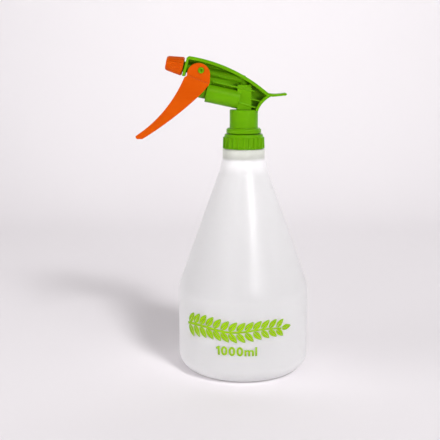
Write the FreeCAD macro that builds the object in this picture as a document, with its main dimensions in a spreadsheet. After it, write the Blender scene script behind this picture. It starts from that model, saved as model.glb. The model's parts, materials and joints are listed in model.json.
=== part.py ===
import FreeCAD, Part
import math
import os
import Sketcher

# Hand mister: a one-litre bottle with a trigger spray head.
# Millimetres. +Z up, origin at the middle of the bottle's base, nozzle towards -X, mirror plane XZ.

os.makedirs("parts", exist_ok=True)
doc = FreeCAD.newDocument("hand_mister")
Vector = FreeCAD.Vector

# ---------------------------------------------------------------- driving dimensions
DIMENSIONS = [
    # bottle
    ("bottle_radius", 54.8), ("bottle_wall", 1.2), ("corner_radius", 14.0),
    ("side_top_z", 67.0), ("cone_low_z", 75.7), ("cone_low_radius", 53.35), ("shoulder_radius", 26.6),
    ("cone_mid_z", 127.0), ("cone_mid_radius", 35.7), ("cone_top_z", 174.0), ("stub_radius", 17.5),
    ("stub_low_z", 179.0), ("stub_top_z", 187.6), ("pushup", 3.0), ("foot_radius", 38.0),
    ("finish_radius", 12.6), ("mouth_radius", 10.8), ("mouth_z", 195.6),
    ("thread_height", 1.15), ("thread_pitch", 4.23), ("thread_base", 1.5), ("thread_tip", 0.7),
    # screw cap
    ("cap_low_z", 188.0), ("cap_top_z", 199.9), ("cap_radius", 17.0), ("cap_top_radius", 15.7),
    ("cap_rib_top_z", 197.2), ("cap_rib_depth", 1.0), ("cap_rib_width", 2.1), ("cap_ribs", 24),
    ("cap_bore", 14.25), ("cap_hole", 12.3), ("cap_ceiling_z", 198.5),
    # head, vertical parts
    ("ring_radius", 14.4), ("ring_low_z", 200.5), ("ring_top_z", 204.7), ("skirt_radius", 11.7),
    ("skirt_bore", 10.0), ("skirt_top_z", 219.7), ("skirt_low_z", 198.3), ("skirt_ceiling_z", 217.9),
    ("column_back", 5.9), ("column_front", 5.5), ("column_half", 5.5), ("column_top_z", 240.0),
    ("column_bore", 1.6), ("column_neck", 3.4), ("vent_radius", 0.7), ("vent_x", -7.6),
    ("spigot_radius", 4.2), ("spigot_low_z", 207.6),
    # head, tilted parts; every tilted axis leans by the same angle
    ("tilt", 12.0), ("pivot_x", -35.0), ("pivot_z", 251.48), ("lever_arm", 16.65),
    ("barrel_radius", 3.4), ("barrel_bore", 1.5), ("barrel_back", -36.5),
    ("stub_r", 4.3), ("stub_front", 26.0), ("chamber_radius", 2.7), ("chamber_back", 12.5),
    ("cylinder_face", -7.63), ("cylinder_length", 27.6), ("cylinder_radius", 7.75),
    ("cylinder_bore", 6.35), ("cylinder_floor", 1.7),
    # head, cover and ribs
    ("cover_half", 8.6), ("cover_thick", 2.7), ("cover_skin", 1.5), ("rim", 1.3),
    ("web", 1.6), ("rib_half", 6.0), ("rib_thick", 1.1), ("plate_half", 8.2),
    ("trunnion_radius", 2.45), ("trunnion_half", 8.9), ("trunnion_dimple", 1.1), ("dimple_depth", 1.3),
    ("boss_radius", 4.2), ("cover_arc", 128.0),
    # trigger
    ("trigger_half", 9.8), ("trigger_inside", 8.25), ("ear_half", 8.4), ("ear_inside", 6.7),
    ("ear_bore", 2.52), ("ear_radius", 9.9), ("tip_half", 7.0),
    # piston
    ("piston_front", 1.57), ("rod_radius", 5.4), ("piston_radius", 6.05), ("piston_hollow", 4.2),
    ("cup_radius", 6.28), ("spring_wire", 0.4), ("spring_radius", 3.3),
    # nozzle
    ("nozzle_back", 14.99), ("nozzle_length", 14.3), ("nozzle_back_radius", 7.2),
    ("nozzle_front_radius", 5.45), ("nozzle_ribs", 20), ("nozzle_rib", 0.45), ("nozzle_bore", 5.15),
    ("orifice", 0.45), ("nozzle_pitch", 2.4), ("nozzle_thread", 0.55),
    # dip tube and strainer
    ("ball_radius", 2.5), ("ball_gap", 0.04), ("tube_radius", 3.0), ("tube_bore", 2.1),
    ("tube_low_z", 9.0), ("tube_top_z", 200.0),
]
sheet = doc.addObject("Spreadsheet::Sheet", "dims")
for row, (alias, size) in enumerate(DIMENSIONS, start=1):
    sheet.set(f"A{row}", alias)
    sheet.set(f"B{row}", str(size))
    sheet.setAlias(f"B{row}", alias)
doc.recompute()
D = dict(DIMENSIONS)
SIN = math.sin(math.radians(D["tilt"]))
COS = math.cos(math.radians(D["tilt"]))


# ---------------------------------------------------------------- small helpers
def number(formula):
    """The value of a sheet formula such as dims.cap_radius + 1."""
    found = sheet.evalExpression(formula) if isinstance(formula, str) else formula
    return float(getattr(found, "Value", found))


def origin_plane(body, role):
    return [item for item in body.Origin.OriginFeatures if item.Role == role][0]


def new_body(label):
    body = doc.addObject("PartDesign::Body", label)
    body.Label = label
    return body


def outline(body, role, name, points, arcs=None):
    """A closed sketch. points are pairs of sheet formulas; arcs maps an edge number to
    (radius formula, +1 or -1): the edge from that point to the next bulges left or right."""
    arcs = arcs or {}
    sketch = body.newObject("Sketcher::SketchObject", name)
    sketch.AttachmentSupport = [(origin_plane(body, role), "")]
    sketch.MapMode = "FlatFace"
    places = [Vector(number(across), number(up), 0) for across, up in points]
    count = len(places)
    starts = []
    for index in range(count):
        start = places[index]
        end = places[(index + 1) % count]
        if index not in arcs:
            sketch.addGeometry(Part.LineSegment(start, end), False)
            starts.append((1, 2))
            continue
        radius = number(arcs[index][0])
        side = arcs[index][1]
        half = (end - start).Length / 2
        left = Vector(-(end - start).y, (end - start).x, 0).normalize()
        centre = (start + end) / 2 - left * side * math.sqrt(radius ** 2 - half ** 2)
        first, last = (start, end) if side < 0 else (end, start)
        begin = math.atan2(first.y - centre.y, first.x - centre.x)
        finish = math.atan2(last.y - centre.y, last.x - centre.x)
        if finish < begin:
            finish += 2 * math.pi
        circle = Part.Circle(centre, Vector(0, 0, 1), radius)
        sketch.addGeometry(Part.ArcOfCircle(circle, begin, finish), False)
        starts.append((1, 2) if side < 0 else (2, 1))
    for index in range(count):
        following = (index + 1) % count
        sketch.addConstraint(Sketcher.Constraint("Coincident", index, starts[index][1],
                                                 following, starts[following][0]))
    for index, (across, up) in enumerate(points):
        for kind, formula in (("DistanceX", across), ("DistanceY", up)):
            spot = starts[index][0]
            if abs(number(formula)) < 1e-9:
                onto = -2 if kind == "DistanceX" else -1
                sketch.addConstraint(Sketcher.Constraint("PointOnObject", index, spot, onto))
                continue
            made = sketch.addConstraint(
                Sketcher.Constraint(kind, -1, 1, index, spot, number(formula)))
            if isinstance(formula, str):
                sketch.setExpression(f"Constraints[{made}]", formula)
    for index in arcs:
        made = sketch.addConstraint(Sketcher.Constraint("Radius", index, number(arcs[index][0])))
        if isinstance(arcs[index][0], str):
            sketch.setExpression(f"Constraints[{made}]", arcs[index][0])
    doc.recompute()
    return sketch


def revolve(body, name, points, arcs=None, groove=False):
    """Turns an outline drawn in the XZ plane about the body's own Z axis."""
    sketch = outline(body, "XZ_Plane", name + "_outline", points, arcs)
    kind = "PartDesign::Groove" if groove else "PartDesign::Revolution"
    feature = body.newObject(kind, name)
    feature.Profile = sketch
    feature.ReferenceAxis = (sketch, ["V_Axis"])
    feature.Angle = 360
    doc.recompute()
    return feature


def pad(body, name, points, length, role="XZ_Plane", arcs=None, pocket=False):
    """A pad or pocket of an outline, half its length to each side of the sketch's plane."""
    sketch = outline(body, role, name + "_outline", points, arcs)
    feature = body.newObject("PartDesign::Pocket" if pocket else "PartDesign::Pad", name)
    feature.Profile = sketch
    if pocket:
        feature.Type = 0
    feature.Length = number(length)
    if isinstance(length, str):
        feature.setExpression("Length", length)
    feature.Midplane = True
    doc.recompute()
    return feature


def helix(body, name, points, pitch, height, groove=False):
    """A screw thread: an outline in the XZ plane swept along a helix about Z."""
    sketch = outline(body, "XZ_Plane", name + "_outline", points)
    kind = "PartDesign::SubtractiveHelix" if groove else "PartDesign::AdditiveHelix"
    feature = body.newObject(kind, name)
    feature.Profile = sketch
    feature.ReferenceAxis = (sketch, ["V_Axis"])
    feature.Mode = 0
    feature.Pitch = number(pitch)
    feature.Height = number(height)
    feature.setExpression("Pitch", pitch)
    doc.recompute()
    return feature


def around(body, name, feature, count):
    """Repeats a feature evenly about Z."""
    pattern = body.newObject("PartDesign::PolarPattern", name)
    pattern.Originals = [feature]
    axis = [item for item in body.Origin.OriginFeatures if item.Role == "Z_Axis"][0]
    pattern.Axis = (axis, [""])
    pattern.Angle = 360
    pattern.Occurrences = int(number(count))
    if isinstance(count, str):
        pattern.setExpression("Occurrences", count)
    body.Tip = pattern
    doc.recompute()
    return pattern


def along_tilt(forward, up=0.0):
    """A point given by its distance forward of the pivot and above the barrel's axis."""
    return Vector(D["pivot_x"] - forward * COS + up * SIN, 0,
                  D["pivot_z"] + forward * SIN + up * COS)


def tilted(piece, up="0", forward="0"):
    """Places a piece drawn about Z so that its +Z runs forward along a tilted axis, and its +X
    up from it; up and forward are sheet formulas for the shift from the pivot."""
    turn = FreeCAD.Rotation(Vector(0, -1, 0), 90 - D["tilt"])
    piece.Placement = FreeCAD.Placement(along_tilt(number(forward), number(up)), turn)
    lean = "dims.tilt"
    piece.setExpression("Placement.Rotation.Angle", f"90 - {lean}")
    piece.setExpression("Placement.Base.x",
                        f"dims.pivot_x - ({forward}) * cos({lean}) + ({up}) * sin({lean})")
    piece.setExpression("Placement.Base.z",
                        f"dims.pivot_z + ({forward}) * sin({lean}) + ({up}) * cos({lean})")
    doc.recompute()


def rod(name, radius, low, high, up=None):
    """A plain cylinder between two heights, upright, or tilted when up is given."""
    cylinder = doc.addObject("Part::Cylinder", name)
    cylinder.setExpression("Radius", radius)
    cylinder.setExpression("Height", f"({high}) - ({low})")
    if up is None:
        cylinder.Placement = FreeCAD.Placement(Vector(0, 0, number(low)), FreeCAD.Rotation())
        cylinder.setExpression("Placement.Base.z", low)
        doc.recompute()
    else:
        tilted(cylinder, up, low)
    return cylinder


def crosswise(name, radius, half):
    """A cylinder along Y at the trigger's pivot, as long on either side."""
    cylinder = doc.addObject("Part::Cylinder", name)
    cylinder.setExpression("Radius", radius)
    cylinder.setExpression("Height", f"2 * ({half})")
    cylinder.Placement = FreeCAD.Placement(Vector(D["pivot_x"], number(half), D["pivot_z"]),
                                           FreeCAD.Rotation(Vector(1, 0, 0), 90))
    cylinder.setExpression("Placement.Base.x", "dims.pivot_x")
    cylinder.setExpression("Placement.Base.y", half)
    cylinder.setExpression("Placement.Base.z", "dims.pivot_z")
    doc.recompute()
    return cylinder


def slab(name, points, width, arcs=None, role="XZ_Plane"):
    """A padded outline as a body of its own, for use in a boolean."""
    body = new_body(name)
    pad(body, name + "_pad", points, width, role, arcs)
    return body


def fused(name, pieces):
    joined = doc.addObject("Part::MultiFuse", name)
    joined.Shapes = pieces
    joined.Refine = True
    doc.recompute()
    return joined


def cut(name, base, tool):
    made = doc.addObject("Part::Cut", name)
    made.Base = base
    made.Tool = tool
    made.Refine = True
    doc.recompute()
    return made


def common(name, base, tool):
    made = doc.addObject("Part::Common", name)
    made.Base = base
    made.Tool = tool
    doc.recompute()
    return made


# ---------------------------------------------------------------- bottle and closure
def make_bottle():
    """Blow-moulded shell with a pushed-up base, a long cone and a threaded neck."""
    body = new_body("bottle")
    wall = "dims.bottle_wall"
    outer = [
        ("0", "dims.pushup"),
        ("dims.foot_radius - 12", "dims.pushup"),
        ("dims.foot_radius - 3", "0"),
        ("dims.bottle_radius - dims.corner_radius", "0"),
        ("dims.bottle_radius", "dims.corner_radius"),
        ("dims.bottle_radius", "dims.side_top_z"),
        ("dims.cone_low_radius", "dims.cone_low_z"),
        ("dims.cone_mid_radius", "dims.cone_mid_z"),
        ("dims.stub_radius + 1.4", "dims.cone_top_z"),
        ("dims.stub_radius", "dims.stub_low_z"),
        ("dims.stub_radius", "dims.stub_top_z"),
        ("dims.finish_radius", "dims.stub_top_z"),
        ("dims.finish_radius", "dims.mouth_z"),
    ]
    inner = [
        ("dims.mouth_radius", "dims.mouth_z"),
        ("dims.mouth_radius", "dims.stub_top_z - 1.5"),
        ("dims.stub_radius - 1.6", "dims.stub_top_z - 4"),
        ("dims.stub_radius - 1.5", "dims.stub_low_z"),
        (f"dims.stub_radius + 1.4 - {wall} * 1.1", "dims.cone_top_z"),
        (f"dims.cone_mid_radius - {wall} * 1.07", "dims.cone_mid_z"),
        (f"dims.cone_low_radius - {wall} * 1.04", "dims.cone_low_z"),
        (f"dims.bottle_radius - {wall}", "dims.side_top_z"),
        (f"dims.bottle_radius - {wall}", "dims.corner_radius"),
        ("dims.bottle_radius - dims.corner_radius", wall),
        ("dims.foot_radius - 2.4", wall),
        ("dims.foot_radius - 11.6", f"dims.pushup + {wall}"),
        ("0", f"dims.pushup + {wall}"),
    ]
    corner = "dims.corner_radius"
    revolve(body, "shell", outer + inner,
            {3: (corner, -1), 5: ("dims.shoulder_radius", -1), 8: ("14", 1),
             16: ("12", -1), 19: (f"dims.shoulder_radius - {wall}", 1), 21: (f"{corner} - {wall}", 1)})
    low = "dims.stub_top_z + 0.6"
    into = "dims.finish_radius - 0.3"
    out = "dims.finish_radius + dims.thread_height"
    slope = "(dims.thread_base - dims.thread_tip) / 2"
    helix(body, "neck_thread",
          [(into, low), (out, f"{low} + {slope}"), (out, f"{low} + dims.thread_base - {slope}"),
           (into, f"{low} + dims.thread_base")], "dims.thread_pitch", 5.0)
    return body


def make_screw_cap():
    """Ribbed closure with an inner thread half a pitch from the neck's."""
    body = new_body("screw_cap")
    revolve(body, "cap_shell", [
        ("dims.cap_bore", "dims.cap_low_z"),
        ("dims.cap_radius + 0.5", "dims.cap_low_z"),
        ("dims.cap_radius + 0.5", "dims.cap_low_z + 0.7"),
        ("dims.cap_radius - 0.6", "dims.cap_low_z + 1.1"),
        ("dims.cap_radius - 0.9", "dims.cap_rib_top_z"),
        ("dims.cap_top_radius + 0.2", "dims.cap_top_z - 1.0"),
        ("dims.cap_top_radius - 0.8", "dims.cap_top_z"),
        ("dims.cap_hole", "dims.cap_top_z"),
        ("dims.cap_hole", "dims.cap_ceiling_z"),
        ("dims.cap_bore", "dims.cap_ceiling_z"),
    ], {5: ("1.2", -1)})
    low = "dims.stub_top_z + 0.6 + dims.thread_pitch / 2"
    into = "dims.cap_bore + 0.3"
    out = "dims.cap_bore - dims.thread_height"
    slope = "(dims.thread_base - dims.thread_tip) / 2"
    helix(body, "cap_thread",
          [(into, low), (into, f"{low} + dims.thread_base"),
           (out, f"{low} + dims.thread_base - {slope}"), (out, f"{low} + {slope}")],
          "dims.thread_pitch", 4.4)
    sketch = outline(body, "XY_Plane", "cap_rib_outline", [
        ("dims.cap_radius - 1.6", "-1 * dims.cap_rib_width / 2"),
        ("dims.cap_radius - 0.7", "-1 * dims.cap_rib_width / 2"),
        ("dims.cap_radius + dims.cap_rib_depth - 0.6", "-1 * dims.cap_rib_width / 2 + 0.5"),
        ("dims.cap_radius + dims.cap_rib_depth - 0.6", "dims.cap_rib_width / 2 - 0.5"),
        ("dims.cap_radius - 0.7", "dims.cap_rib_width / 2"),
        ("dims.cap_radius - 1.6", "dims.cap_rib_width / 2"),
    ])
    sketch.AttachmentOffset = FreeCAD.Placement(Vector(0, 0, D["cap_low_z"] + 0.6),
                                                FreeCAD.Rotation())
    sketch.setExpression("AttachmentOffset.Base.z", "dims.cap_low_z + 0.6")
    rib = body.newObject("PartDesign::Pad", "cap_rib")
    rib.Profile = sketch
    rib.Length = D["cap_rib_top_z"] - D["cap_low_z"] - 0.6
    rib.setExpression("Length", "dims.cap_rib_top_z - dims.cap_low_z - 0.6")
    rib.TaperAngle = -2.0
    doc.recompute()
    around(body, "cap_rib_ring", rib, "dims.cap_ribs")
    return body


def make_neck_gasket():
    body = new_body("neck_gasket")
    revolve(body, "gasket_ring", [
        ("dims.mouth_radius", "dims.mouth_z"), ("dims.finish_radius + 0.4", "dims.mouth_z"),
        ("dims.finish_radius + 0.4", "dims.mouth_z + 1.2"), ("dims.mouth_radius", "dims.mouth_z + 1.2")])
    return body


def make_tube_connector():
    """Plug in the skirt: its flange hangs in the cap, its middle holds the valve and the tube."""
    body = new_body("tube_connector")
    flange_low = "dims.mouth_z + 1.2"
    revolve(body, "plug", [
        ("dims.tube_bore - 0.3", "dims.tube_top_z"),
        ("dims.tube_radius", "dims.tube_top_z"),
        ("dims.tube_radius", "dims.mouth_z - 7"),
        ("dims.tube_radius + 1.5", "dims.mouth_z - 7"),
        ("dims.tube_radius + 1.8", "dims.mouth_z - 1"),
        ("dims.mouth_radius - 1.2", "dims.mouth_z - 1"),
        ("dims.mouth_radius - 0.5", flange_low),
        ("dims.cap_bore - 0.75", flange_low),
        ("dims.cap_bore - 0.75", "dims.skirt_low_z"),
        ("dims.skirt_bore", "dims.skirt_low_z"),
        ("dims.skirt_bore", "dims.ring_top_z + 1"),
        ("dims.skirt_bore - 1.2", "dims.ring_top_z + 1"),
        ("dims.skirt_bore - 1.4", "dims.tube_top_z + 1"),
        ("dims.spigot_radius + 1.4", "dims.tube_top_z + 1"),
        ("dims.spigot_radius + 1.4", "dims.spigot_low_z + 3"),
        ("dims.spigot_radius", "dims.spigot_low_z + 3"),
        ("dims.spigot_radius", "dims.spigot_low_z"),
        ("3.1", "dims.spigot_low_z"),
        ("3.1", "dims.tube_top_z + 3.4"),
        ("dims.tube_bore - 0.3", "dims.tube_top_z + 1.6"),
    ])
    return body


def make_connector_seal():
    """Ring seal round the spigot, on top of the connector's socket."""
    body = new_body("connector_seal")
    revolve(body, "seal_ring", [
        ("dims.spigot_radius", "dims.spigot_low_z + 3"),
        ("dims.spigot_radius + 1.4", "dims.spigot_low_z + 3"),
        ("dims.spigot_radius + 1.1", "dims.spigot_low_z + 4.4"),
        ("dims.spigot_radius", "dims.spigot_low_z + 4.4")])
    return body


def make_inlet_ball():
    """Ball that rests on the connector's cone, which widens by 1.3 mm over 1.8 mm of height."""
    ball = doc.addObject("Part::Sphere", "inlet_ball")
    ball.setExpression("Radius", "dims.ball_radius")
    slope = math.atan2(1.3, 1.8)
    rise = (D["ball_radius"] - (D["tube_bore"] - 0.3) * math.cos(slope)) / math.sin(slope)
    centre = D["tube_top_z"] + 1.6 + rise + D["ball_gap"]
    ball.Placement = FreeCAD.Placement(Vector(0, 0, centre), FreeCAD.Rotation())
    doc.recompute()
    return ball


def make_dip_tube():
    body = new_body("dip_tube")
    revolve(body, "tube", [
        ("dims.tube_bore", "dims.tube_low_z"), ("dims.tube_radius", "dims.tube_low_z"),
        ("dims.tube_radius", "dims.tube_top_z"), ("dims.tube_bore", "dims.tube_top_z")])
    return body


def make_tube_strainer():
    """Cup pushed over the tube's lower end, with slots round its foot."""
    body = new_body("tube_strainer")
    revolve(body, "strainer_cup", [
        ("0", "dims.tube_low_z - 3.6"), ("dims.tube_radius + 1.2", "dims.tube_low_z - 3.6"),
        ("dims.tube_radius + 1.2", "dims.tube_low_z + 7"), ("dims.tube_radius", "dims.tube_low_z + 7"),
        ("dims.tube_radius", "dims.tube_low_z"), ("dims.tube_bore", "dims.tube_low_z"),
        ("dims.tube_bore", "dims.tube_low_z - 2.6"), ("0", "dims.tube_low_z - 2.6")])
    sketch = outline(body, "XZ_Plane", "slot_outline", [
        ("-0.35", "dims.tube_low_z - 2.4"), ("0.35", "dims.tube_low_z - 2.4"),
        ("0.35", "dims.tube_low_z - 0.4"), ("-0.35", "dims.tube_low_z - 0.4")])
    slot = body.newObject("PartDesign::Pocket", "slot")
    slot.Profile = sketch
    slot.Type = 1
    slot.Midplane = True
    doc.recompute()
    around(body, "slot_ring", slot, 8)
    return body


# ---------------------------------------------------------------- sprayer body
def cover_strip(name, shift_top, shift_low, width, tail=True):
    """The long curved cover, from the nose to the thumb rest, between two depths below its top."""
    front = ("-44.4", f"262.9 - {shift_top}")
    rear = (f"19.8 - {shift_top} * 0.5", f"233.2 - {shift_top} * 0.87")
    rear_low = (f"19.8 - {shift_low} * 0.5", f"233.2 - {shift_low} * 0.87")
    front_low = ("-44.4", f"262.9 - {shift_low}")
    top = f"dims.cover_arc - {shift_top}"
    low = f"dims.cover_arc - {shift_low}"
    if not tail:
        points = [front, rear, rear_low, front_low]
        return slab(name, points, width, {0: (top, 1), 2: (low, -1)})
    points = [("-46.5", "261.6"), front, rear, ("23.9", "232.6"), ("34.0", "233.5"), ("34.9", "232.4"),
              ("34.2", "231.3"), ("23.1", "230.3"), rear_low, front_low, ("-47.0", "259.6")]
    return slab(name, points, width, {1: (top, 1), 3: ("40", -1), 8: (low, -1)})


def make_sprayer_body():
    """The head's one moulding: tubes, web, ribs, nose plate, cover, skirt and trunnions."""
    axis_up = "-1 * dims.lever_arm"
    cover = cover_strip("cover", 0.0, D["cover_thick"], "2 * dims.cover_half")
    hollow = cover_strip("cover_hollow", D["cover_skin"], D["cover_thick"] + 0.6,
                         "2 * (dims.cover_half - dims.rim)", tail=False)
    shell = cut("cover_shell", cover, hollow)
    nose_plate = slab("nose_plate", [("-46.5", "261.4"), ("-44.3", "262.4"), ("-48.3", "246.75"),
                                     ("-50.6", "247.2")], "2 * dims.plate_half")
    back_plate = slab("back_plate", [("22.0", "230.6"), ("11.9", "220.3"), ("11.6", "218.6"),
                                     ("9.0", "218.6"), ("9.9", "221.2"), ("19.4", "231.9")],
                      "2 * dims.plate_half", {0: ("22.5", -1), 4: ("25", 1)})
    web = slab("centre_web", [("-45.0", "261.2"), ("-10.0", "251.5"), ("2.0", "244.5"),
                              ("18.5", "231.5"), ("12.8", "224.6"), ("10.6", "219.0"), ("-6.0", "219.0"),
                              ("-6.0", "228.0"), ("-26.5", "232.0"), ("-27.0", "240.0"),
                              ("-32.0", "241.0"), ("-32.5", "246.0"), ("-48.3", "250.5")], "dims.web")
    long_rib = slab("long_rib", [("-25.8", "243.0"), ("8.6", "235.3"), ("8.6", "235.3 - dims.rib_thick"),
                                 ("-25.8", "243.0 - dims.rib_thick")], "2 * dims.rib_half")
    low_rib = slab("low_rib", [("-4.6", "225.9"), ("11.0", "221.5"), ("10.7", "221.5 - dims.rib_thick"),
                               ("-4.6", "225.9 - dims.rib_thick")], "2 * dims.rib_half")
    short_rib = slab("short_rib", [("5.0", "229.0"), ("15.2", "226.7"), ("14.8", "225.9"),
                                   ("5.0", "228.1")], "2 * dims.rib_half")
    skirt = new_body("skirt")
    revolve(skirt, "skirt_turned", [
        ("0", "dims.skirt_top_z"),
        ("dims.skirt_radius - 0.5", "dims.skirt_top_z"),
        ("dims.skirt_radius", "dims.skirt_top_z - 0.5"),
        ("dims.skirt_radius", "dims.ring_top_z"),
        ("dims.ring_radius - 0.9", "dims.ring_top_z"),
        ("dims.ring_radius", "dims.ring_top_z - 0.9"),
        ("dims.ring_radius", "dims.ring_low_z"),
        ("dims.skirt_radius", "dims.ring_low_z"),
        ("dims.skirt_radius", "dims.skirt_low_z"),
        ("dims.skirt_bore", "dims.skirt_low_z"),
        ("dims.skirt_bore", "dims.skirt_ceiling_z"),
        ("dims.spigot_radius", "dims.skirt_ceiling_z"),
        ("dims.spigot_radius", "dims.spigot_low_z"),
        ("0", "dims.spigot_low_z"),
    ], {4: ("0.9", -1)})
    solids = [
        shell, nose_plate, back_plate, web, long_rib, low_rib, short_rib, skirt,
        slab("column", [("-1 * dims.column_front", "dims.skirt_top_z - 1"),
                        ("dims.column_back", "dims.skirt_top_z - 1"),
                        ("dims.column_back", "dims.column_top_z"),
                        ("-1 * dims.column_front", "dims.column_top_z")], "2 * dims.column_half"),
        rod("column_neck", "dims.column_neck", "dims.column_top_z - 1", "dims.pivot_z - 7.4"),
        rod("barrel", "dims.barrel_radius", "dims.barrel_back", "dims.chamber_back + 1", "0"),
        nozzle_stub(),
        rod("pump_cylinder", "dims.cylinder_radius", "dims.cylinder_face - dims.cylinder_length",
            "dims.cylinder_face", axis_up),
        crosswise("pivot_boss", "dims.boss_radius", "dims.ear_inside - 0.3"),
        crosswise("trunnions", "dims.trunnion_radius", "dims.trunnion_half"),
    ]
    bores = [
        rod("column_way", "dims.column_bore", "dims.spigot_low_z - 1", "dims.pivot_z - 7.6"),
        rod("barrel_way", "dims.barrel_bore", "dims.barrel_back + 0.6", "dims.chamber_back + 1", "0"),
        rod("valve_chamber", "dims.chamber_radius", "dims.chamber_back", "dims.stub_front + 1", "0"),
        rod("cylinder_bore_way", "dims.cylinder_bore",
            "dims.cylinder_face - dims.cylinder_length + dims.cylinder_floor",
            "dims.cylinder_face + 1", axis_up),
        rod("cylinder_port", "1.2", "dims.cylinder_face - dims.cylinder_length - 4.4",
            "dims.cylinder_face - dims.cylinder_length + dims.cylinder_floor + 1", axis_up),
        cut("pin_dimples", crosswise("dimple_rod", "dims.trunnion_dimple", "dims.trunnion_half + 1"),
            crosswise("dimple_core", "dims.trunnion_radius", "dims.trunnion_half - dims.dimple_depth")),
    ]
    notch = slab("spigot_notch", [("-6", "dims.spigot_low_z - 1"), ("6", "dims.spigot_low_z - 1"),
                                  ("6", "dims.spigot_low_z + 1"), ("-6", "dims.spigot_low_z + 1")], 1.2)
    vent = rod("vent_hole", "dims.vent_radius", "dims.skirt_ceiling_z - 1", "dims.skirt_top_z + 4.5")
    vent.setExpression("Placement.Base.x", "dims.vent_x")
    moulding = cut("sprayer_body", fused("solid_moulding", solids), fused("ways", bores + [notch, vent]))
    return moulding


def nozzle_stub():
    """The barrel's threaded front, drawn about Z and tilted with the barrel."""
    body = new_body("barrel_front")
    revolve(body, "stub_turned", [
        ("0", "dims.chamber_back - 4"), ("dims.stub_r", "dims.chamber_back - 4"),
        ("dims.stub_r", "dims.stub_front - 0.4"), ("dims.stub_r - 0.4", "dims.stub_front"),
        ("0", "dims.stub_front")])
    low = "dims.nozzle_back + 1.6"
    into = "dims.stub_r - 0.25"
    out = "dims.stub_r + dims.nozzle_thread"
    helix(body, "stub_thread", [(into, low), (out, f"{low} + 0.3"), (out, f"{low} + 0.6"),
                                (into, f"{low} + 0.9")], "dims.nozzle_pitch", 4.2)
    tilted(body)
    return body


# ---------------------------------------------------------------- trigger
def lever_outline(front, rear, top):
    """Side outline of the lever below its ears; front and rear shift the two long edges."""
    return [(f"-48.6 + {front}", f"245.9 - {top}"), (f"-88.9 + {front}", f"198.4 + {front} * 0.6"),
            (f"-87.5 + {front}", f"195.8 + {front}"), (f"-83.4 + {rear} * 0.3", f"195.9 - {rear} * 0.8"),
            (f"-37.9 + {rear}", f"229.9 - {rear}"), (f"-28.4 + {rear}", f"240.6 - {rear} * 0.2"),
            (f"-46.0 + {front}", f"247.5 - {top}")]


def make_trigger():
    """Curved channel, open towards the pump, with two set-in ears and a push rib."""
    edges = {0: ("109", 1), 1: ("1.9", -1), 3: ("288", -1), 4: ("60", -1)}
    side = slab("lever_side", lever_outline(0, 0, 0), "2 * dims.trigger_half", edges)
    plan = [("-89.5", "-1 * dims.tip_half"), ("-48.0", "-1 * dims.trigger_half"),
            ("-20.0", "-1 * dims.trigger_half"), ("-20.0", "dims.trigger_half"),
            ("-48.0", "dims.trigger_half"), ("-89.5", "dims.tip_half")]
    inner_plan = [("-89.5", "-1 * dims.tip_half + 1.4"), ("-48.0", "-1 * dims.trigger_inside"),
                  ("-20.0", "-1 * dims.trigger_inside"), ("-20.0", "dims.trigger_inside"),
                  ("-48.0", "dims.trigger_inside"), ("-89.5", "dims.tip_half - 1.4")]
    from_above = slab("lever_plan", plan, 600, None, "XY_Plane")
    lever = common("lever_blank", side, from_above)
    hollow_side = slab("lever_hollow_side", lever_outline(1.6, 4.0, 1.6), "2 * dims.trigger_half",
                       {0: ("109", 1), 3: ("288", -1)})
    hollow_plan = slab("lever_hollow_plan", inner_plan, 600, None, "XY_Plane")
    channel = common("lever_channel", hollow_side, hollow_plan)
    ear_points = [("-29.2", "238.6"), ("-27.9", "241.6"), ("-27.6", "248.0"), ("-37.0", "257.4"),
                  ("-46.4", "248.0"), ("-46.4", "245.2")]
    ear_edges = {2: ("dims.ear_radius - 0.5", -1), 3: ("dims.ear_radius - 0.5", -1)}
    ears = slab("ears", ear_points, "2 * dims.ear_half", ear_edges)
    ear_gap = slab("ear_gap", [("-20.0", "225.0"), ("-20.0", "262.0"), ("-52.0", "262.0"),
                               ("-52.0", "246.2"), ("-46.2", "246.2"), ("-33.0", "238.0")],
                   "2 * dims.ear_inside")
    nose = doc.addObject("Part::Cylinder", "push_nose")
    nose.Radius = 2.0
    nose.Height = 3.6
    spot = along_tilt(3.745, -16.22)
    nose.Placement = FreeCAD.Placement(Vector(spot.x, 1.8, spot.z), FreeCAD.Rotation(Vector(1, 0, 0), 90))
    push = slab("push_rib", [("-42.03", "238.37"), ("-51.3", "239.9"), ("-54.1", "234.9"),
                             ("-42.03", "234.41")], "3.6")
    blank = fused("trigger_blank", [cut("lever_shell", lever, channel), ears])
    opened = cut("trigger_opened", blank, ear_gap)
    filled = fused("trigger_filled", [opened, nose, push])
    return cut("trigger", filled, crosswise("ear_bores", "dims.ear_bore", "dims.trigger_half + 1"))


# ---------------------------------------------------------------- pump and nozzle pieces
AXIS = "-1 * dims.lever_arm"


def make_piston():
    body = new_body("piston")
    end = "dims.cylinder_face - 6.4"
    revolve(body, "piston_turned", [
        ("0", "dims.piston_front"), ("dims.rod_radius - 0.6", "dims.piston_front"),
        ("dims.rod_radius", "dims.piston_front - 0.6"), ("dims.rod_radius", "dims.cylinder_face - 1"),
        ("dims.piston_radius", "dims.cylinder_face - 1.6"), ("dims.piston_radius", end),
        ("dims.piston_hollow + 0.6", end), ("dims.piston_hollow + 0.6", f"{end} - 3.2"),
        ("dims.piston_hollow", f"{end} - 3.2"), ("dims.piston_hollow", "dims.piston_front - 9"),
        ("0", "dims.piston_front - 9")])
    tilted(body, AXIS)
    return body


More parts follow.
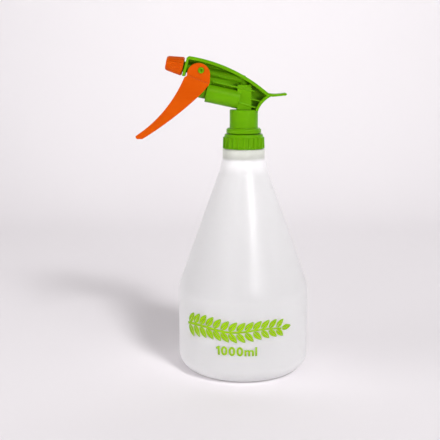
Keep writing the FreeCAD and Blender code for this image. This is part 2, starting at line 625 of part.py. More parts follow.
def make_piston_cup():
    body = new_body("piston_cup")
    end = "dims.cylinder_face - 6.4"
    revolve(body, "cup_turned", [
        ("dims.piston_hollow + 0.6", end), ("dims.piston_radius - 0.3", end),
        ("dims.cup_radius", f"{end} - 0.8"),
        ("dims.cup_radius", f"{end} - 1.4"), ("dims.piston_radius - 0.5", f"{end} - 2.0"),
        ("dims.cup_radius", f"{end} - 2.8"), ("dims.cup_radius", f"{end} - 3.2"),
        ("dims.piston_hollow + 0.6", f"{end} - 3.2")])
    tilted(body, AXIS)
    return body


def coil(name, radius, wire, low, high, turns, up):
    """A round-wire compression spring between two heights, with its wire's axis on a helix."""
    wire_r = number(wire)
    bottom = number(low) + wire_r
    top = number(high) - wire_r
    helix_wire = Part.makeHelix((top - bottom) / turns, top - bottom, number(radius))
    section = Part.Wire(Part.makeCircle(wire_r, Vector(number(radius), 0, 0), Vector(0, 1, 0)))
    solid = Part.Wire(helix_wire.Edges).makePipeShell([section], True, True)
    spring = doc.addObject("Part::Feature", name)
    spring.Shape = solid
    tilted(spring, up, f"({low}) + ({wire})")
    return spring


def make_piston_spring():
    return coil("piston_spring", "dims.spring_radius", "dims.spring_wire",
                "dims.cylinder_face - dims.cylinder_length + dims.cylinder_floor + 0.05",
                "dims.piston_front - 9.05", 9, AXIS)


def make_outlet_valve():
    body = new_body("outlet_valve")
    seat = "dims.chamber_back"
    revolve(body, "valve_turned", [
        ("0", f"{seat} + 0.02"), ("2.1", f"{seat} + 0.02"), ("2.1", f"{seat} + 1.4"),
        ("0.9", f"{seat} + 1.4"), ("0.9", f"{seat} + 3.2"), ("0", f"{seat} + 3.2")])
    tilted(body)
    return body


def make_outlet_spring():
    return coil("outlet_spring", "1.5", "0.2", "dims.chamber_back + 1.45", "dims.chamber_back + 7.95", 7, "0")


def make_swirl_insert():
    """Spinner pressed in the barrel's mouth; three slots feed its swirl face."""
    body = new_body("swirl_insert")
    low = "dims.chamber_back + 8"
    face = "dims.stub_front + 0.6"
    revolve(body, "insert_turned", [
        ("0", low), ("1.1", low), ("1.9", f"{low} + 1"), ("1.9", "dims.stub_front - 2"),
        ("dims.chamber_radius", "dims.stub_front - 2"), ("dims.chamber_radius", face), ("1.2", face),
        ("1.2", f"{face} - 0.5"), ("0", f"{face} - 0.5")])
    sketch = outline(body, "XY_Plane", "slot_outline", [("1.0", "-0.4"), ("4.0", "-0.4"), ("4.0", "0.4"),
                                                        ("1.0", "0.4")])
    shift = "dims.stub_front - 2.4"
    sketch.AttachmentOffset = FreeCAD.Placement(Vector(0, 0, number(shift)), FreeCAD.Rotation())
    sketch.setExpression("AttachmentOffset.Base.z", shift)
    slot = body.newObject("PartDesign::Pocket", "feed_slot")
    slot.Profile = sketch
    slot.Reversed = True
    slot.Length = 4
    doc.recompute()
    around(body, "feed_slots", slot, 3)
    tilted(body)
    return body


def make_nozzle_cap():
    """Ribbed cone with an inner thread, a seal groove, a front dish and the orifice."""
    body = new_body("nozzle_cap")
    back = "dims.nozzle_back"
    front = "dims.nozzle_back + dims.nozzle_length"
    ceiling = "dims.stub_front + 0.75"
    revolve(body, "cone", [
        ("dims.nozzle_bore", back), ("dims.nozzle_back_radius - 0.3", back),
        ("dims.nozzle_back_radius", f"{back} + 0.3"), ("dims.nozzle_front_radius", f"{front} - 0.5"),
        ("dims.nozzle_front_radius - 0.5", front), ("2.6", front), ("1.6", f"{front} - 0.9"),
        ("dims.orifice", f"{front} - 0.9"), ("dims.orifice", ceiling), ("dims.stub_r + 0.3", ceiling),
        ("dims.stub_r + 0.3", f"{ceiling} - 1.0"), ("dims.stub_r + 0.85", f"{ceiling} - 1.0"),
        ("dims.stub_r + 0.85", f"{ceiling} - 2.5"), ("dims.stub_r + 0.3", f"{ceiling} - 2.5"),
        ("dims.stub_r + 0.3", f"{ceiling} - 3.2"), ("dims.nozzle_bore", f"{ceiling} - 3.2")])
    low = f"{back} + 1.6 + dims.nozzle_pitch / 2"
    into = "dims.nozzle_bore + 0.2"
    out = "dims.stub_r + 0.3"
    helix(body, "nozzle_thread_ridge", [(into, low), (into, f"{low} + 0.9"), (out, f"{low} + 0.6"),
                                        (out, f"{low} + 0.3")], "dims.nozzle_pitch", 1.9)
    sketch = outline(body, "XZ_Plane", "nozzle_rib_outline", [
        ("dims.nozzle_front_radius - 0.25", f"{front} - 1.0"),
        ("dims.nozzle_back_radius - 0.25", f"{back} + 0.7"),
        ("dims.nozzle_back_radius + dims.nozzle_rib", f"{back} + 0.9"),
        ("dims.nozzle_front_radius + dims.nozzle_rib", f"{front} - 1.3")])
    rib = body.newObject("PartDesign::Pad", "nozzle_rib_pad")
    rib.Profile = sketch
    rib.Length = 0.9
    rib.Midplane = True
    doc.recompute()
    around(body, "nozzle_rib_ring", rib, "dims.nozzle_ribs")
    tilted(body)
    return body


def make_nozzle_o_ring():
    ring = doc.addObject("Part::Torus", "nozzle_o_ring")
    ring.setExpression("Radius1", "dims.stub_r + 0.43")
    ring.Radius2 = 0.36
    doc.recompute()
    tilted(ring, "0", "dims.stub_front - 1.0")
    return ring


MAKERS = [
    make_bottle, make_screw_cap, make_neck_gasket, make_tube_connector, make_connector_seal,
    make_inlet_ball, make_dip_tube, make_tube_strainer, make_sprayer_body, make_trigger, make_piston,
    make_piston_cup, make_piston_spring, make_outlet_valve, make_outlet_spring, make_swirl_insert,
    make_nozzle_cap, make_nozzle_o_ring,
]
pieces = [maker() for maker in MAKERS]
doc.recompute()

for item in doc.Objects:
    if "Invalid" in item.State or "Error" in item.State:
        raise RuntimeError(f"{item.Name} did not compute: {item.State}")
for piece in pieces:
    if piece.Shape.isNull() or not piece.Shape.isValid() or len(piece.Shape.Solids) != 1:
        raise RuntimeError(f"{piece.Label} has no single valid solid")
    piece.Shape.exportStep(f"parts/{piece.Label}.step")
    box = piece.Shape.BoundBox
    print(f"{piece.Label}: {piece.Shape.Volume:.1f} mm3, z {box.ZMin:.1f} to {box.ZMax:.1f}")
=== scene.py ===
import json
import math

import bmesh
import bpy
from mathutils import Matrix, Vector

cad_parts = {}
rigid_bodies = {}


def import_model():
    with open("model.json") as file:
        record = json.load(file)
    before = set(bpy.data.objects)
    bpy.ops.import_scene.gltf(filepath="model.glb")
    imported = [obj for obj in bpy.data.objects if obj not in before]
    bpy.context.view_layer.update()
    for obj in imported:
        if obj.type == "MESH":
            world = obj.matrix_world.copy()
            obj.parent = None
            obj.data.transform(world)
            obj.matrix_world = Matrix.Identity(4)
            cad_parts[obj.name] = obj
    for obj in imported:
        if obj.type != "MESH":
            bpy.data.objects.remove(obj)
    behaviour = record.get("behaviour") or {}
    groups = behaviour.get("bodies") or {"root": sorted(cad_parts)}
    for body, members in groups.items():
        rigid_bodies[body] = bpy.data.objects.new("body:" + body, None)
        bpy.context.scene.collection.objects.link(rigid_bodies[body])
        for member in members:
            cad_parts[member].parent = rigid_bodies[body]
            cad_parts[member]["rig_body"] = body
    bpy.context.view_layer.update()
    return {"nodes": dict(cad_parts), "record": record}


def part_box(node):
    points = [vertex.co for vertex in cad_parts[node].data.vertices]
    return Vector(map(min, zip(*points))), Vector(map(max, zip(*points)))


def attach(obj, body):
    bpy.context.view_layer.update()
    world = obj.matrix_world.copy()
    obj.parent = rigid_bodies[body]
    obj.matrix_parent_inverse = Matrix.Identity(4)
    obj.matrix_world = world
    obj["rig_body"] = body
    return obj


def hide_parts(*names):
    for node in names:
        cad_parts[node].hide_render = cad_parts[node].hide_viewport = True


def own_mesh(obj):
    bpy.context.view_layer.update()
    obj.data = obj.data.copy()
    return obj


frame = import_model()

MM = 0.001                         # lengths are in metres; sizes of the object are given in mm
NODES = frame["nodes"]

# ---------------------------------------------------------------- sizes, from the frame where it has them
BOTTLE_LOW, BOTTLE_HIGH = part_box("bottle")
RADIUS = (BOTTLE_HIGH.x - BOTTLE_LOW.x) / 2
MOUTH_Z = BOTTLE_HIGH.z
WALL = 1.2 * MM
NECK_Z = MOUTH_Z - 8 * MM          # the step under the threaded finish
SEGMENTS = 192


# ---------------------------------------------------------------- mesh helpers
def new_piece(name, mesh, body, smooth_angle=None):
    """A visual piece that rides on a body; edges sharper than smooth_angle, in degrees, stay crisp."""
    piece = bpy.data.objects.new(name, mesh)
    bpy.context.scene.collection.objects.link(piece)
    for polygon in mesh.polygons:
        polygon.use_smooth = True
    if smooth_angle is not None:
        mark_sharp(mesh, smooth_angle)
    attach(piece, body)
    return piece


def mark_sharp(mesh, angle):
    """Keeps an edge crisp where its two faces meet at more than the angle, in degrees."""
    shape = bmesh.new()
    shape.from_mesh(mesh)
    for edge in shape.edges:
        if len(edge.link_faces) == 2:
            edge.smooth = edge.calc_face_angle(0.0) < math.radians(angle)
    shape.to_mesh(mesh)
    shape.free()


def applied(piece):
    """Replaces the piece's mesh by what its modifiers make of it."""
    graph = bpy.context.evaluated_depsgraph_get()
    made = bpy.data.meshes.new_from_object(piece.evaluated_get(graph))
    piece.modifiers.clear()
    piece.data = made


def rounded(corners, steps=7):
    """A profile from (radius, height, rounding) corners; a rounding of 0 stays a corner."""
    made = []
    for index, (across, up, rounding) in enumerate(corners):
        point = Vector((across, up))
        if rounding == 0 or index in (0, len(corners) - 1):
            made.append(point)
            continue
        before = Vector(corners[index - 1][:2]) - point
        after = Vector(corners[index + 1][:2]) - point
        half = before.angle(after) / 2
        reach = rounding / math.tan(half)
        first = point + before.normalized() * reach
        inwards = (before.normalized() + after.normalized()).normalized()
        centre = point + inwards * (rounding / math.sin(half))
        last = point + after.normalized() * reach
        start = math.atan2(first.y - centre.y, first.x - centre.x)
        sweep = math.atan2(last.y - centre.y, last.x - centre.x) - start
        sweep = (sweep + math.pi) % (2 * math.pi) - math.pi
        for step in range(steps + 1):
            turn = start + sweep * step / steps
            made.append(centre + Vector((math.cos(turn), math.sin(turn))) * rounding)
    return made


def lathe(name, profile):
    """Turns a profile of (radius, height) points about Z; points on the axis become one vertex."""
    shape = bmesh.new()
    rings = []
    for point in profile:
        if point[0] < 1e-7:
            rings.append([shape.verts.new((0, 0, point[1]))] * SEGMENTS)
            continue
        ring = []
        for step in range(SEGMENTS):
            turn = 2 * math.pi * step / SEGMENTS
            ring.append(shape.verts.new((point[0] * math.cos(turn), point[0] * math.sin(turn), point[1])))
        rings.append(ring)
    for low, high in zip(rings, rings[1:]):
        for step in range(SEGMENTS):
            following = (step + 1) % SEGMENTS
            corners = []
            for vertex in (low[step], low[following], high[following], high[step]):
                if vertex not in corners:
                    corners.append(vertex)
            if len(corners) > 2:
                shape.faces.new(corners)
    bmesh.ops.recalc_face_normals(shape, faces=shape.faces)
    mesh = bpy.data.meshes.new(name)
    shape.to_mesh(mesh)
    shape.free()
    return mesh


def add_backing(shape):
    """Backs the lever's front wall with a thicker strip inside the channel, from near the tip upwards.

    The wall is thinner than one voxel there, so rounding the edges would open a hole in it.
    """
    half_width, thickness = 6.2 * MM, 1.2 * MM
    front_wall = [Vector((along * MM, up * MM)) for along, up in
                  ((-86.4, 200.0), (-82.1, 203.0), (-78.2, 206.0), (-73.5, 210.0), (-68.4, 215.0))]
    behind = Vector((0.6, -0.8)) * thickness      # about square to the wall, into the channel
    rings = []
    for point in front_wall:
        section = ((-1, point), (1, point), (1, point + behind), (-1, point + behind))
        rings.append([shape.verts.new((spot.x, side * half_width, spot.y)) for side, spot in section])
    added = [shape.faces.new(rings[0]), shape.faces.new(rings[-1])]
    for low, high in zip(rings, rings[1:]):
        for index in range(4):
            following = (index + 1) % 4
            added.append(shape.faces.new((low[index], low[following], high[following], high[index])))
    bmesh.ops.recalc_face_normals(shape, faces=added)


def softened(node, name, voxel, passes):
    """The CAD node's shape with its moulded edges rounded, as a piece that stands for it."""
    source = NODES[node]
    piece = bpy.data.objects.new(name, source.data.copy())
    bpy.context.scene.collection.objects.link(piece)
    shape = bmesh.new()
    shape.from_mesh(piece.data)
    bmesh.ops.remove_doubles(shape, verts=shape.verts, dist=1e-6)
    if node == "trigger":
        add_backing(shape)
    shape.to_mesh(piece.data)
    shape.free()
    remesh = piece.modifiers.new("voxels", "REMESH")
    remesh.mode = "VOXEL"
    remesh.voxel_size = voxel
    remesh.adaptivity = 0.0
    smooth = piece.modifiers.new("round", "SMOOTH")
    smooth.factor = 0.5
    smooth.iterations = passes
    applied(piece)
    for polygon in piece.data.polygons:
        polygon.use_smooth = True
    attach(piece, source["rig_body"])
    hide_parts(node)
    return piece


# ---------------------------------------------------------------- materials
def material(name):
    """A new material with its node tree and its shader."""
    made = bpy.data.materials.new(name)
    made.use_nodes = True
    shader = made.node_tree.nodes["Principled BSDF"]
    return made, made.node_tree, shader


def noise(tree, scale, detail, roughness, stretch=(1, 1, 1)):
    """Noise fixed to the object; its scale is in waves per metre."""
    place = tree.nodes.new("ShaderNodeTexCoord")
    turn = tree.nodes.new("ShaderNodeMapping")
    turn.inputs["Scale"].default_value = stretch
    made = tree.nodes.new("ShaderNodeTexNoise")
    made.inputs["Scale"].default_value = scale
    made.inputs["Detail"].default_value = detail
    made.inputs["Roughness"].default_value = roughness
    tree.links.new(place.outputs["Object"], turn.inputs["Vector"])
    tree.links.new(turn.outputs["Vector"], made.inputs["Vector"])
    return made.outputs["Fac"]


def ramp(tree, factor, stops):
    """Colours by a factor, from (position, colour) stops."""
    made = tree.nodes.new("ShaderNodeValToRGB")
    while len(made.color_ramp.elements) < len(stops):
        made.color_ramp.elements.new(0.5)
    for element, (place, colour) in zip(made.color_ramp.elements, stops):
        element.position = place
        element.color = (*colour, 1)
    tree.links.new(factor, made.inputs["Fac"])
    return made.outputs["Color"]


def spread(tree, factor, low, high):
    """Turns a factor of 0 to 1 into a value from low to high."""
    made = tree.nodes.new("ShaderNodeMapRange")
    made.inputs["To Min"].default_value = low
    made.inputs["To Max"].default_value = high
    tree.links.new(factor, made.inputs["Value"])
    return made.outputs["Result"]


def bump(tree, shader, heights, strength, distance):
    """Chains one bump node for each height."""
    normal = None
    for height, share in heights:
        made = tree.nodes.new("ShaderNodeBump")
        made.inputs["Strength"].default_value = strength * share
        made.inputs["Distance"].default_value = distance
        tree.links.new(height, made.inputs["Height"])
        if normal is not None:
            tree.links.new(normal, made.inputs["Normal"])
        normal = made.outputs["Normal"]
    tree.links.new(normal, shader.inputs["Normal"])


def moulded_plastic(name, dark, light, roughness, glow, gloss):
    """Injection-moulded polypropylene: faint flow marks, fine grain, a little light scattered inside.

    glow is how far each colour of light scatters, and gloss is the tint of the highlights.
    """
    made, tree, shader = material(name)
    flow = noise(tree, 60, 3, 0.6, (0.5, 1, 1.6))
    grain = noise(tree, 2600, 2, 0.5)
    tree.links.new(ramp(tree, flow, [(0.3, dark), (0.7, light)]), shader.inputs["Base Color"])
    tree.links.new(spread(tree, flow, roughness - 0.05, roughness + 0.07), shader.inputs["Roughness"])
    bump(tree, shader, [(flow, 0.5), (grain, 1.0)], 0.10, 0.00008)
    shader.inputs["Specular IOR Level"].default_value = 0.18
    shader.inputs["Specular Tint"].default_value = (*gloss, 1)
    shader.inputs["Subsurface Weight"].default_value = 0.25
    shader.inputs["Subsurface Radius"].default_value = glow
    shader.inputs["Subsurface Scale"].default_value = 0.0008
    return made


def bottle_plastic():
    """Natural polyethylene: milky, slightly uneven wall, soft gloss; the thicker neck is painted greyer
    and green-tinged, as painted shade and a painted green reflection from the cap.
    """
    # painted shade under the cap, with a painted green reflection from it
    neck_painted_shade = (0.50, 0.52, 0.46, 1)
    painted_shade_low, painted_shade_high = 178 * MM, 180.5 * MM      # the painted shade of the neck sets in between these heights
    colour_a, colour_b, colour_out = 6, 7, 2        # the colour sockets of a Mix node
    made, tree, shader = material("natural_polyethylene")
    cloud = noise(tree, 14, 4, 0.55, (1, 1, 0.6))
    ripple = noise(tree, 90, 3, 0.5, (1, 1, 0.25))
    grain = noise(tree, 1800, 2, 0.5)
    body = ramp(tree, cloud, [(0.3, (0.94, 0.93, 0.94)), (0.7, (0.97, 0.96, 0.975))])
    place = tree.nodes.new("ShaderNodeTexCoord")
    split = tree.nodes.new("ShaderNodeSeparateXYZ")
    tree.links.new(place.outputs["Object"], split.inputs["Vector"])
    height = spread(tree, split.outputs["Z"], 0, 1)
    height.node.inputs["From Min"].default_value = painted_shade_low
    height.node.inputs["From Max"].default_value = painted_shade_high
    # mixes the painted neck shade over the milky body above the neck's step
    mixed = tree.nodes.new("ShaderNodeMix")
    mixed.data_type = "RGBA"
    mixed.inputs[colour_b].default_value = neck_painted_shade
    tree.links.new(height, mixed.inputs["Factor"])
    tree.links.new(body, mixed.inputs[colour_a])
    tree.links.new(mixed.outputs[colour_out], shader.inputs["Base Color"])
    tree.links.new(spread(tree, cloud, 0.29, 0.36), shader.inputs["Roughness"])
    bump(tree, shader, [(ripple, 1.0), (grain, 0.5)], 0.12, 0.0002)
    shader.inputs["IOR"].default_value = 1.5
    shader.inputs["Subsurface Weight"].default_value = 1.0
    shader.inputs["Subsurface Radius"].default_value = (1.0, 1.0, 1.0)
    shader.inputs["Subsurface Scale"].default_value = 0.012
    return made


def print_ink():
    """Screen-printed lime ink, slightly uneven in cover."""
    made, tree, shader = material("screen_print_ink")
    cover = noise(tree, 900, 3, 0.6)
    tree.links.new(ramp(tree, cover, [(0.35, (0.19, 0.34, 0.001)), (0.7, (0.22, 0.39, 0.002))]),
                   shader.inputs["Base Color"])
    tree.links.new(spread(tree, cover, 0.35, 0.5), shader.inputs["Roughness"])
    bump(tree, shader, [(cover, 1.0)], 0.1, 0.00005)
    shader.inputs["Specular IOR Level"].default_value = 0.08
    return made


def clear_plastic():
    """Uncoloured plastic of the small inner parts."""
    made, tree, shader = material("natural_insert_plastic")
    cloud = noise(tree, 220, 3, 0.5)
    tree.links.new(ramp(tree, cloud, [(0.3, (0.78, 0.78, 0.76)), (0.7, (0.86, 0.86, 0.85))]),
                   shader.inputs["Base Color"])
    tree.links.new(spread(tree, cloud, 0.32, 0.42), shader.inputs["Roughness"])
    bump(tree, shader, [(cloud, 1.0)], 0.08, 0.0001)
    shader.inputs["Subsurface Weight"].default_value = 0.4
    shader.inputs["Subsurface Scale"].default_value = 0.002
    return made


def rubber(name, dark, light):
    """A matt seal with a faint bloom."""
    made, tree, shader = material(name)
    bloom = noise(tree, 500, 4, 0.6)
    tree.links.new(ramp(tree, bloom, [(0.3, dark), (0.7, light)]), shader.inputs["Base Color"])
    tree.links.new(spread(tree, bloom, 0.55, 0.7), shader.inputs["Roughness"])
    bump(tree, shader, [(bloom, 1.0)], 0.15, 0.00008)
    return made


def spring_steel():
    """Bright drawn wire."""
    made, tree, shader = material("drawn_steel")
    drawn = noise(tree, 1500, 3, 0.5, (1, 1, 0.2))
    tree.links.new(ramp(tree, drawn, [(0.3, (0.48, 0.48, 0.50)), (0.7, (0.64, 0.64, 0.66))]),
                   shader.inputs["Base Color"])
    tree.links.new(spread(tree, drawn, 0.2, 0.34), shader.inputs["Roughness"])
    bump(tree, shader, [(drawn, 1.0)], 0.08, 0.00003)
    shader.inputs["Metallic"].default_value = 1.0
    return made


GREEN = moulded_plastic("green_polypropylene", (0.074, 0.212, 0.001), (0.088, 0.248, 0.0015), 0.33,
                        (0.3, 1.0, 0.1), (0.7, 1.0, 0.3))
ORANGE = moulded_plastic("orange_polypropylene", (0.385, 0.052, 0.0006), (0.435, 0.062, 0.001), 0.32,
                         (1.0, 0.25, 0.05), (1.0, 0.6, 0.3))
BOTTLE = bottle_plastic()
INK = print_ink()
CLEAR = clear_plastic()
SEAL = rubber("soft_seal", (0.62, 0.62, 0.58), (0.70, 0.70, 0.66))
NITRILE = rubber("nitrile", (0.012, 0.012, 0.012), (0.024, 0.024, 0.024))
STEEL = spring_steel()
FINISH = {"bottle_plastic": BOTTLE, "green_plastic": GREEN, "orange_plastic": ORANGE,
          "clear_plastic": CLEAR, "seal": SEAL, "black_seal": NITRILE, "spring_steel": STEEL}
SLOT_OF = {entry["node"]: entry["material_slot"] for entry in frame["record"]["subparts"]}


def dress(piece, finish):
    """Gives the piece one finish."""
    piece.data.materials.clear()
    piece.data.materials.append(finish)


for node_name, node in NODES.items():
    node_finish = FINISH[SLOT_OF[node_name]]
    if not node.material_slots:
        node.data.materials.append(node_finish)
    for node_slot in node.material_slots:
        node_slot.material = node_finish


# ---------------------------------------------------------------- bottle
def make_bottle():
    """Blown shell: pushed-up base, foot ring, round corner, straight side, cone, neck and finish."""
    corner = 14 * MM
    push_up = 3 * MM
    side_z = 71.4 * MM                                     # the straight side ends and the cone begins
    flare_r, flare_z, flare_round = 20.45 * MM, 168 * MM, 20 * MM     # the cone bends into the neck
    stub_r, stub_z = 17.5 * MM, 179.3 * MM                 # the plain neck under the step
    finish_r, mouth_r = 12.6 * MM, 10.8 * MM
    inner_r, inner_z = stub_r - 1.5 * MM, 175.9 * MM       # the plain neck's inside
    outer = [(0, push_up, 0), (26 * MM, push_up, 4 * MM), (35 * MM, 0, 4 * MM),
             (RADIUS, 0, corner), (RADIUS, side_z, 26 * MM), (flare_r, flare_z, flare_round),
             (stub_r, stub_z, 1.5 * MM), (stub_r, NECK_Z, 0.5 * MM),
             (finish_r, NECK_Z, 0.3 * MM), (finish_r, MOUTH_Z, 0.3 * MM), (mouth_r, MOUTH_Z, 0.3 * MM)]
    inner = [(mouth_r, NECK_Z - 1.5 * MM, 2 * MM), (inner_r, NECK_Z - 4 * MM, 1 * MM),
             (inner_r, inner_z, 4 * MM), (RADIUS - WALL, side_z - 0.2 * MM, 24 * MM),
             (RADIUS - WALL, WALL, corner - WALL), (35.6 * MM, WALL, 3 * MM),
             (26.4 * MM, push_up + WALL, 3 * MM), (0, push_up + WALL, 0)]
    mesh = lathe("bottle_shell", rounded(outer + inner, 9))
    shell = new_piece("bottle_shell", mesh, "bottle", 60)
    dress(shell, BOTTLE)
    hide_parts("bottle")
    pitch, height = 4.23 * MM, 5 * MM
    thread = make_thread("bottle_thread", finish_r, 1.15 * MM, NECK_Z + 0.6 * MM, pitch, height / pitch)
    thread.parent = shell


def make_thread(name, root, depth, low, pitch, turns):
    """A screw ridge that runs out at both ends."""
    steps_per_turn, run_out = 72, 6
    sunk, base, tip_low, tip_high = -0.25 * MM, 1.5 * MM, 0.4 * MM, 1.1 * MM
    section = [(sunk, 0.0), (depth, tip_low), (depth, tip_high), (sunk, base)]
    shape = bmesh.new()
    steps = int(turns * steps_per_turn)
    rings = []
    for step in range(steps + 1):
        turn = 2 * math.pi * step / steps_per_turn
        rise = low + pitch * step / steps_per_turn
        fade = min(1.0, step / run_out, (steps - step) / run_out)
        ring = []
        for out, up in section:
            reach = root + (out if out < 0 else out * (0.05 + 0.95 * fade))
            ring.append(shape.verts.new((reach * math.cos(turn), reach * math.sin(turn), rise + up)))
        rings.append(ring)
    for low_ring, high_ring in zip(rings, rings[1:]):
        for index in range(4):
            following = (index + 1) % 4
            shape.faces.new((low_ring[index], low_ring[following],
                             high_ring[following], high_ring[index]))
    shape.faces.new(rings[0])
    shape.faces.new(rings[-1])
    bmesh.ops.recalc_face_normals(shape, faces=shape.faces)
    mesh = bpy.data.meshes.new(name)
    shape.to_mesh(mesh)
    shape.free()
    ridge = new_piece(name, mesh, "bottle", 35)
    dress(ridge, BOTTLE)
    return ridge


# ---------------------------------------------------------------- print on the bottle
PRINT_LIFT = 0.03 * MM             # how far the ink's back stands off the shell
PRINT_THICK = 0.05 * MM


def leaf(shape, base, angle, length, width):
    """A pointed leaf with a split down its middle, flat in the XZ plane."""
    count = 14                         # steps along each edge
    along = Vector((math.cos(angle), math.sin(angle)))
    across = Vector((-along.y, along.x))
    gap = width * 0.045
    for side in (-1, 1):
        edge = [base + along * length * 0.02 + across * side * gap]
        for step in range(1, count):
            part = step / count
            bulge = math.sin(math.pi * part ** 0.8) ** 0.9
            edge.append(base + along * length * part + across * side * (gap + width / 2 * bulge))
        edge.append(base + along * length + across * side * gap * 0.2)
        corners = [shape.verts.new((point.x, 0, point.y)) for point in edge]
        if side > 0:
            corners.reverse()
        shape.faces.new(corners)


def ribbon(shape, points, widths):
    """A flat stroke through the points."""
    left, right = [], []
    for index, point in enumerate(points):
        ahead = points[min(index + 1, len(points) - 1)] - points[max(index - 1, 0)]
        across = Vector((-ahead.y, ahead.x)).normalized() * widths[index] / 2
        left.append(shape.verts.new((point.x + across.x, 0, point.y + across.y)))
        right.append(shape.verts.new((point.x - across.x, 0, point.y - across.y)))
    for index in range(len(points) - 1):
        shape.faces.new((left[index], right[index], right[index + 1], left[index + 1]))


def wrapped(shape, name, middle_angle):
    """Bends a flat print round the bottle and gives it the ink's thickness."""
    bmesh.ops.triangulate(shape, faces=shape.faces)
    strip = 1.2 * MM                   # width of the flat strips that follow the curve
    low = min(vertex.co.x for vertex in shape.verts)
    high = max(vertex.co.x for vertex in shape.verts)
    for index in range(int((high - low) / strip)):
        everything = shape.verts[:] + shape.edges[:] + shape.faces[:]
        bmesh.ops.bisect_plane(shape, geom=everything, plane_co=(low + (index + 1) * strip, 0, 0),
                               plane_no=(1, 0, 0))
    reach = RADIUS + PRINT_LIFT
    for vertex in shape.verts:
        turn = vertex.co.x / reach + middle_angle
        vertex.co.x = reach * math.sin(turn)
        vertex.co.y = -reach * math.cos(turn)
    bmesh.ops.recalc_face_normals(shape, faces=shape.faces)
    for face in shape.faces:
        middle = face.calc_center_median()
        if face.normal.dot(Vector((middle.x, middle.y, 0))) < 0:
            face.normal_flip()
    mesh = bpy.data.meshes.new(name)
    shape.to_mesh(mesh)
    shape.free()
    piece = new_piece(name, mesh, "bottle")
    dress(piece, INK)
    thick = piece.modifiers.new("ink", "SOLIDIFY")
    thick.thickness = PRINT_THICK
    thick.offset = 1.0
    applied(piece)


def make_sprig():
    """A plain leafy sprig: a waved stem with pairs of leaves and one at its tip."""
    shape = bmesh.new()
    width, middle_z, wave = 96 * MM, 46.6 * MM, 1.2 * MM
    tip_length, first_length, last_length = 10.0 * MM, 11.2 * MM, 9.0 * MM
    count, pairs = 48, 13              # steps along the stem, and pairs of leaves
    first_pair, last_pair = 0.02, 0.94  # where the pairs begin and end, as parts of the stem

    def on_stem(part):
        """The place at a part of the stem's length, from 0 to 1."""
        return Vector((part * (width - tip_length) - width / 2,
                       middle_z + wave * math.sin(3 * math.pi * part)))

    stem = [on_stem(index / count) for index in range(count + 1)]
    ribbon(shape, stem, [(2.0 - 0.8 * index / count) * MM for index in range(count + 1)])
    for index in range(pairs):
        part = first_pair + (last_pair - first_pair) * index / (pairs - 1)
        place = on_stem(part)
        length = first_length + (last_length - first_length) * part
        for side in (1, -1):
            leaf(shape, place + Vector((0.4 * MM, side * 0.9 * MM)), side * math.radians(56 - 14 * part),
                 length, length * 0.46)
    leaf(shape, stem[-1] + Vector((0.2 * MM, 0)), math.radians(4), tip_length, tip_length * 0.42)
    wrapped(shape, "printed_sprig", math.radians(-6.7))


def make_capacity_mark():
    """The plain capacity figure in bold: built-in font glyphs, set side by side with even gaps."""
    width, height, low_z, gap = 33.8 * MM, 7.6 * MM, 25.9 * MM, 0.9 * MM
    flag_out, flag_in = 1.5 * MM, 0.2 * MM       # the one's flag, left and right of the stem's edge
    flag_drop, flag_inner_drop, flag_outer_drop = 1.5 * MM, 2.4 * MM, 2.6 * MM
    shape = bmesh.new()
    reach = 0.0
    for letter in "1000ml":
        words = bpy.data.curves.new("glyph", "FONT")
        words.body = letter
        words.size = 10 * MM
        words.offset = 0.3 * MM
        words.resolution_u = 5
        text = bpy.data.objects.new("glyph", words)
        bpy.context.scene.collection.objects.link(text)
        flat = bpy.data.meshes.new_from_object(text)
        bpy.data.objects.remove(text)
        left, right = (pick(vertex.co.x for vertex in flat.vertices) for pick in (min, max))
        if letter == "1":
            top = max(vertex.co.y for vertex in flat.vertices)
            flag = [(flag_out + flag_in, top), (flag_out + flag_in, top - flag_inner_drop),
                    (0, top - flag_outer_drop), (0, top - flag_drop)]
            shape.faces.new([shape.verts.new((along, up, 0)) for along, up in flag])
            left -= flag_out
        flat.transform(Matrix.Translation((reach - left, 0, 0)))
        reach += right - left + gap
        shape.from_mesh(flat)
    bmesh.ops.remove_doubles(shape, verts=shape.verts, dist=1e-6)
    low, high = (pick(vertex.co.y for vertex in shape.verts) for pick in (min, max))
    for vertex in shape.verts:
        across = vertex.co.x / (reach - gap) - 0.5
        up = (vertex.co.y - low) / (high - low)
        vertex.co = Vector((across * width, 0, low_z + up * height))
    wrapped(shape, "printed_capacity", math.radians(-7))


# ---------------------------------------------------------------- head
def make_head():
    """The four mouldings: node, size of the voxels, passes of smoothing, finish."""
    for node_name, voxel, passes, finish in (
            ("sprayer_body", 0.26 * MM, 4, GREEN), ("trigger", 0.26 * MM, 4, ORANGE),
            ("screw_cap", 0.15 * MM, 1, GREEN), ("nozzle_cap", 0.16 * MM, 4, ORANGE)):
        piece = softened(node_name, node_name + "_moulding", voxel, passes)
        dress(piece, finish)


def make_springs():
    """Each coil as a piece of its own: a copy of the CAD coil in drawn steel, riding on the coil's body.
    """
    for node_name, joint in (("piston_spring", "piston_slide"), ("outlet_spring", "outlet_valve_lift")):
        source = NODES[node_name]
        piece = new_piece(node_name + "_coil", source.data.copy(), source["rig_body"])
        dress(piece, STEEL)
        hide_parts(node_name)
        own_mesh(piece)


# ---------------------------------------------------------------- stage
def area_light(name, place, target, size, power, colour=(1, 1, 1)):
    """A rectangular light at a place, turned towards a target."""
    lamp = bpy.data.lights.new(name, "AREA")
    lamp.shape = "RECTANGLE"
    lamp.size, lamp.size_y = size
    lamp.energy = power
    lamp.color = colour
    thing = bpy.data.objects.new(name, lamp)
    bpy.context.scene.collection.objects.link(thing)
    thing.location = place
    thing.rotation_euler = (Vector(target) - Vector(place)).to_track_quat("-Z", "Y").to_euler()
    return thing


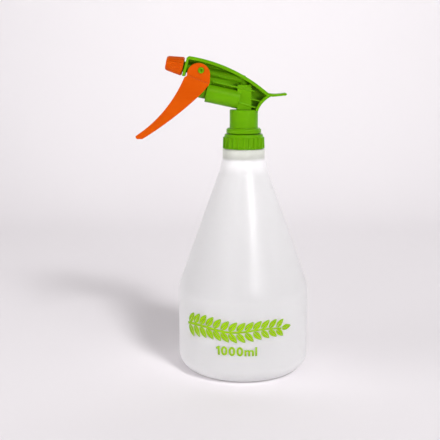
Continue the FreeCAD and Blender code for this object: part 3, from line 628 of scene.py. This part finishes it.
def make_stage():
    """A pale sweep: flat floor that curves up into a backdrop."""
    shape = bmesh.new()
    half_width, top_z = 3.0, 2.6
    front_y, back_y, bend = -2.2, 1.3, 0.7
    steps = 16
    line = [(front_y, 0.0), (back_y - bend, 0.0)]
    for step in range(1, steps + 1):
        turn = math.pi / 2 * step / steps
        line.append((back_y - bend + bend * math.sin(turn), bend - bend * math.cos(turn)))
    line.append((back_y, top_z))
    rows = [[shape.verts.new((side * half_width, deep, up)) for side in (-1, 1)] for deep, up in line]
    for low, high in zip(rows, rows[1:]):
        shape.faces.new((low[0], low[1], high[1], high[0]))
    mesh = bpy.data.meshes.new("sweep")
    shape.to_mesh(mesh)
    shape.free()
    for polygon in mesh.polygons:
        polygon.use_smooth = True
    sweep = bpy.data.objects.new("sweep", mesh)
    bpy.context.scene.collection.objects.link(sweep)
    paper, _, shader = material("backdrop_paper")
    shader.inputs["Base Color"].default_value = (0.69, 0.675, 0.685, 1)
    shader.inputs["Roughness"].default_value = 0.75
    dress(sweep, paper)


def make_lights():
    """Seven lights and a weak, faintly pink surround.

    A key from the front right throws the shadow left and behind. Two low fills light the bottle from the
    left and from the front right without lighting the floor much, and don't show as highlights. A wash
    from above brightens the backdrop, two upright strips draw highlights down the bottle, and a strip
    behind the head lights the cover's top edge.
    """
    bpy.context.scene.view_settings.view_transform = "Standard"
    world = bpy.data.worlds.new("studio")
    bpy.context.scene.world = world
    world.use_nodes = True
    sky = world.node_tree.nodes["Background"]
    sky.inputs["Color"].default_value = (1.0, 0.90, 0.93, 1)
    sky.inputs["Strength"].default_value = 0.18
    middle = (0, 0, 0.12)
    cool = (1.0, 0.985, 1.0)
    area_light("key_softbox", (0.96, -1.66, 1.68), middle, (0.45, 0.45), 46, cool)
    left_fill = area_light("left_fill", (-0.88, -0.34, 0.13), middle, (0.6, 0.24), 7.8, cool)
    right_fill = area_light("right_fill", (0.7, -1.0, 0.12), middle, (0.4, 0.24), 9.0, cool)
    left_fill.visible_glossy = False
    right_fill.visible_glossy = False
    area_light("backdrop_wash", (0.0, 0.60, 1.0), (0.0, 1.2, 0.1), (1.6, 0.3), 4.8, cool)
    area_light("right_strip", (0.56, -1.39, 0.58), middle, (0.10, 0.42), 1.7, cool)
    area_light("left_strip", (-0.66, -1.35, 0.58), middle, (0.22, 0.42), 1.3, cool)
    area_light("top_strip", (0.05, 0.45, 0.95), (0, 0, 0.24), (0.7, 0.2), 1.0)


def make_camera():
    """Level with the nozzle, a little above the bottle, looking slightly down."""
    lens = bpy.data.cameras.new("camera")
    lens.sensor_width = 36
    lens.lens = 67.7
    lens.clip_start, lens.clip_end = 0.01, 20
    tilt_down = 0.181
    camera = bpy.data.objects.new("camera", lens)
    bpy.context.scene.collection.objects.link(camera)
    camera.location = (-0.01966, -0.6876, 0.2529)
    camera.rotation_euler = (math.pi / 2 - tilt_down, 0, 0)
    bpy.context.scene.camera = camera


make_camera()
make_bottle()
make_sprig()
make_capacity_mark()
make_head()
make_springs()
make_stage()
make_lights()
